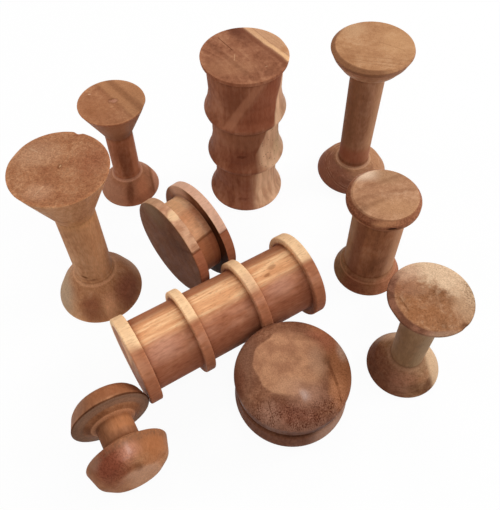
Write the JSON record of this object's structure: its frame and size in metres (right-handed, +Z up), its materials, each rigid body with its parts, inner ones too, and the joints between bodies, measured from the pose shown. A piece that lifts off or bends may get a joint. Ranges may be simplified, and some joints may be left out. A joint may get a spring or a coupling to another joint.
{
  "type": "ribbon winder",
  "caption": "Set of turned hardwood ribbon spools with conical, dished, domed and ringed ends; some stand on their foot and others lie on their rims.",
  "frame": {"origin": "on the bench top, under the middle of the whole set's bounding box", "axes": "+Z up; +X to the right and +Y away from the usual viewing side; the lying barrel's axis runs 30.8 degrees from +X"},
  "size_m": [0.2622, 0.2888, 0.128],
  "materials": {
    "large_cone_spool_wood": "orange-brown hardwood, hand oiled, satin",
    "small_cone_spool_wood": "red-brown hardwood, hand oiled, satin",
    "three_bay_spool_wood": "red-brown heartwood with pale sapwood down one side, hand oiled, satin",
    "tall_dished_spool_wood": "tan hardwood, hand oiled, satin",
    "stout_spool_wood": "tan hardwood, hand oiled, satin",
    "short_dished_spool_wood": "grey-brown hardwood with pale sapwood, hand oiled, satin",
    "double_dome_spool_wood": "red-brown hardwood, hand oiled, satin",
    "disc_spool_wood": "grey-brown hardwood, hand oiled, satin",
    "four_ring_spool_wood": "straw sapwood over red-brown heartwood, hand oiled, satin",
    "dome_ended_spool_wood": "orange-brown hardwood, hand oiled, satin"
  },
  "bodies": {
    "large_cone_spool": {"large_cone_spool": "large_cone_spool_wood"},
    "small_cone_spool": {"small_cone_spool": "small_cone_spool_wood"},
    "three_bay_spool": {"three_bay_spool": "three_bay_spool_wood"},
    "tall_dished_spool": {"tall_dished_spool": "tall_dished_spool_wood"},
    "stout_spool": {"stout_spool": "stout_spool_wood"},
    "short_dished_spool": {"short_dished_spool": "short_dished_spool_wood"},
    "double_dome_spool": {"double_dome_spool": "double_dome_spool_wood"},
    "disc_spool": {"disc_spool": "disc_spool_wood"},
    "four_ring_spool": {"four_ring_spool": "four_ring_spool_wood"},
    "dome_ended_spool": {"dome_ended_spool": "dome_ended_spool_wood"}
  },
  "joints": [
    {"name": "large_cone_lift", "type": "slide", "parent": "three_bay_spool", "child": "large_cone_spool", "axis": [0, 0, 1], "range_m": [0, 0.15]},
    {"name": "small_cone_lift", "type": "slide", "parent": "three_bay_spool", "child": "small_cone_spool", "axis": [0, 0, 1], "range_m": [0, 0.15]},
    {"name": "tall_dished_lift", "type": "slide", "parent": "three_bay_spool", "child": "tall_dished_spool", "axis": [0, 0, 1], "range_m": [0, 0.15]},
    {"name": "stout_lift", "type": "slide", "parent": "three_bay_spool", "child": "stout_spool", "axis": [0, 0, 1], "range_m": [0, 0.15]},
    {"name": "short_dished_lift", "type": "slide", "parent": "three_bay_spool", "child": "short_dished_spool", "axis": [0, 0, 1], "range_m": [0, 0.15]},
    {"name": "double_dome_lift", "type": "slide", "parent": "three_bay_spool", "child": "double_dome_spool", "axis": [0.0535, -0.0898, 0.9945], "range_m": [0, 0.15]},
    {"name": "disc_lift", "type": "slide", "parent": "three_bay_spool", "child": "disc_spool", "axis": [0, 0, 1], "range_m": [0, 0.15]},
    {"name": "four_ring_lift", "type": "slide", "parent": "three_bay_spool", "child": "four_ring_spool", "axis": [0, 0, 1], "range_m": [0, 0.15]},
    {"name": "dome_ended_lift", "type": "slide", "parent": "three_bay_spool", "child": "dome_ended_spool", "axis": [0, 0, 1], "range_m": [0, 0.15]}
  ]
}
